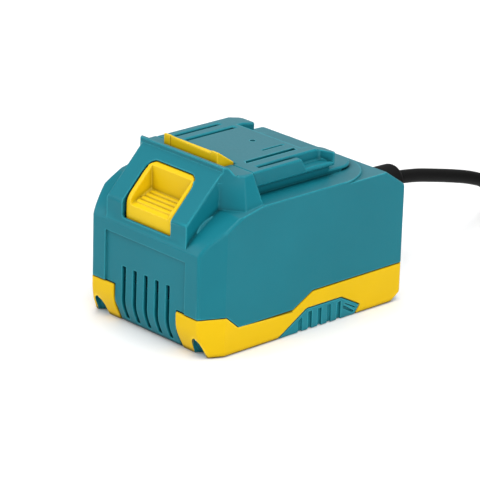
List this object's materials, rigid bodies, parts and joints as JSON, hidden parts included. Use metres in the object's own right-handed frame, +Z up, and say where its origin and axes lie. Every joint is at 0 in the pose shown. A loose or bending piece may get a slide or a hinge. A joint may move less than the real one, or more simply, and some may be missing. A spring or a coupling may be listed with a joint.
{
  "type": "power tool ac adapter",
  "caption": "Mains adapter in the shape of a slide-on battery pack, with undercut top rails, a sprung scoop button with a hook, corner bumpers and a plug on a coiled cord",
  "frame": {"origin": "middle of the base, on the surface that the housing stands on, without the cord and plug", "axes": "+X across the width, +Y along the length from the vented front to the cord, +Z up to the rails"},
  "size_m": [0.0887, 0.3295, 0.0776],
  "materials": {
    "housing": "fine matt moulding",
    "bumper": "satin moulding",
    "latch": "satin moulding",
    "screw": "zinc plated",
    "spring": "drawn wire",
    "inner_plastic": "matt moulding",
    "contact": "plain sheet",
    "red_wire": "soft sleeve",
    "black_wire": "soft sleeve",
    "white_wire": "soft sleeve",
    "board": "coated laminate",
    "ferrite": "pressed ferrite",
    "winding_tape": "wrapped tape",
    "can_sleeve": "shrunk sleeve",
    "heat_sink": "extruded",
    "device": "moulded package",
    "choke": "enamelled wire",
    "cap_box": "potted box",
    "fuse": "clear tube",
    "brown_wire": "soft sleeve",
    "blue_wire": "soft sleeve",
    "cord": "smooth sheath",
    "tie": "woven strap",
    "plug": "soft moulding",
    "pin": "nickel plated"
  },
  "bodies": {
    "housing": {"main_housing": "housing", "rail_block": "housing", "bottom_cover": "housing", "left_bumper": "bumper", "right_bumper": "bumper", "rail_screws": "screw", "case_screws": "screw", "bracket_screws": "screw", "terminal_screws": "screw", "board_screws": "screw", "clamp_screws": "screw", "latch_spring": "spring", "latch_bracket": "inner_plastic", "terminal_block": "inner_plastic", "positive_contact": "contact", "negative_contact": "contact", "signal_contact": "contact", "positive_lead": "red_wire", "negative_lead": "black_wire", "signal_lead": "white_wire", "main_board": "board", "transformer_core": "ferrite", "transformer_winding": "winding_tape", "storage_capacitor": "can_sleeve", "output_capacitors": "can_sleeve", "primary_heat_sink": "heat_sink", "secondary_heat_sink": "heat_sink", "switching_transistor": "device", "output_rectifier": "device", "bridge_rectifier": "device", "filter_choke": "choke", "suppression_capacitor": "cap_box", "mains_fuse": "fuse", "live_lead": "brown_wire", "neutral_lead": "blue_wire", "cord_tail": "cord", "cord_clamp": "inner_plastic", "strain_relief": "cord", "mains_cord": "cord", "cord_coil": "cord", "coil_tie": "tie", "cord_end": "cord", "plug_body": "plug", "plug_pins": "pin"},
    "latch": {"release_latch": "latch"}
  },
  "joints": [
    {"name": "latch_press", "type": "slide", "parent": "housing", "child": "latch", "axis": [0, 0, -1], "range_m": [0, 0.006], "stiffness_N_per_m": 800, "deforming": ["latch_spring"]}
  ]
}
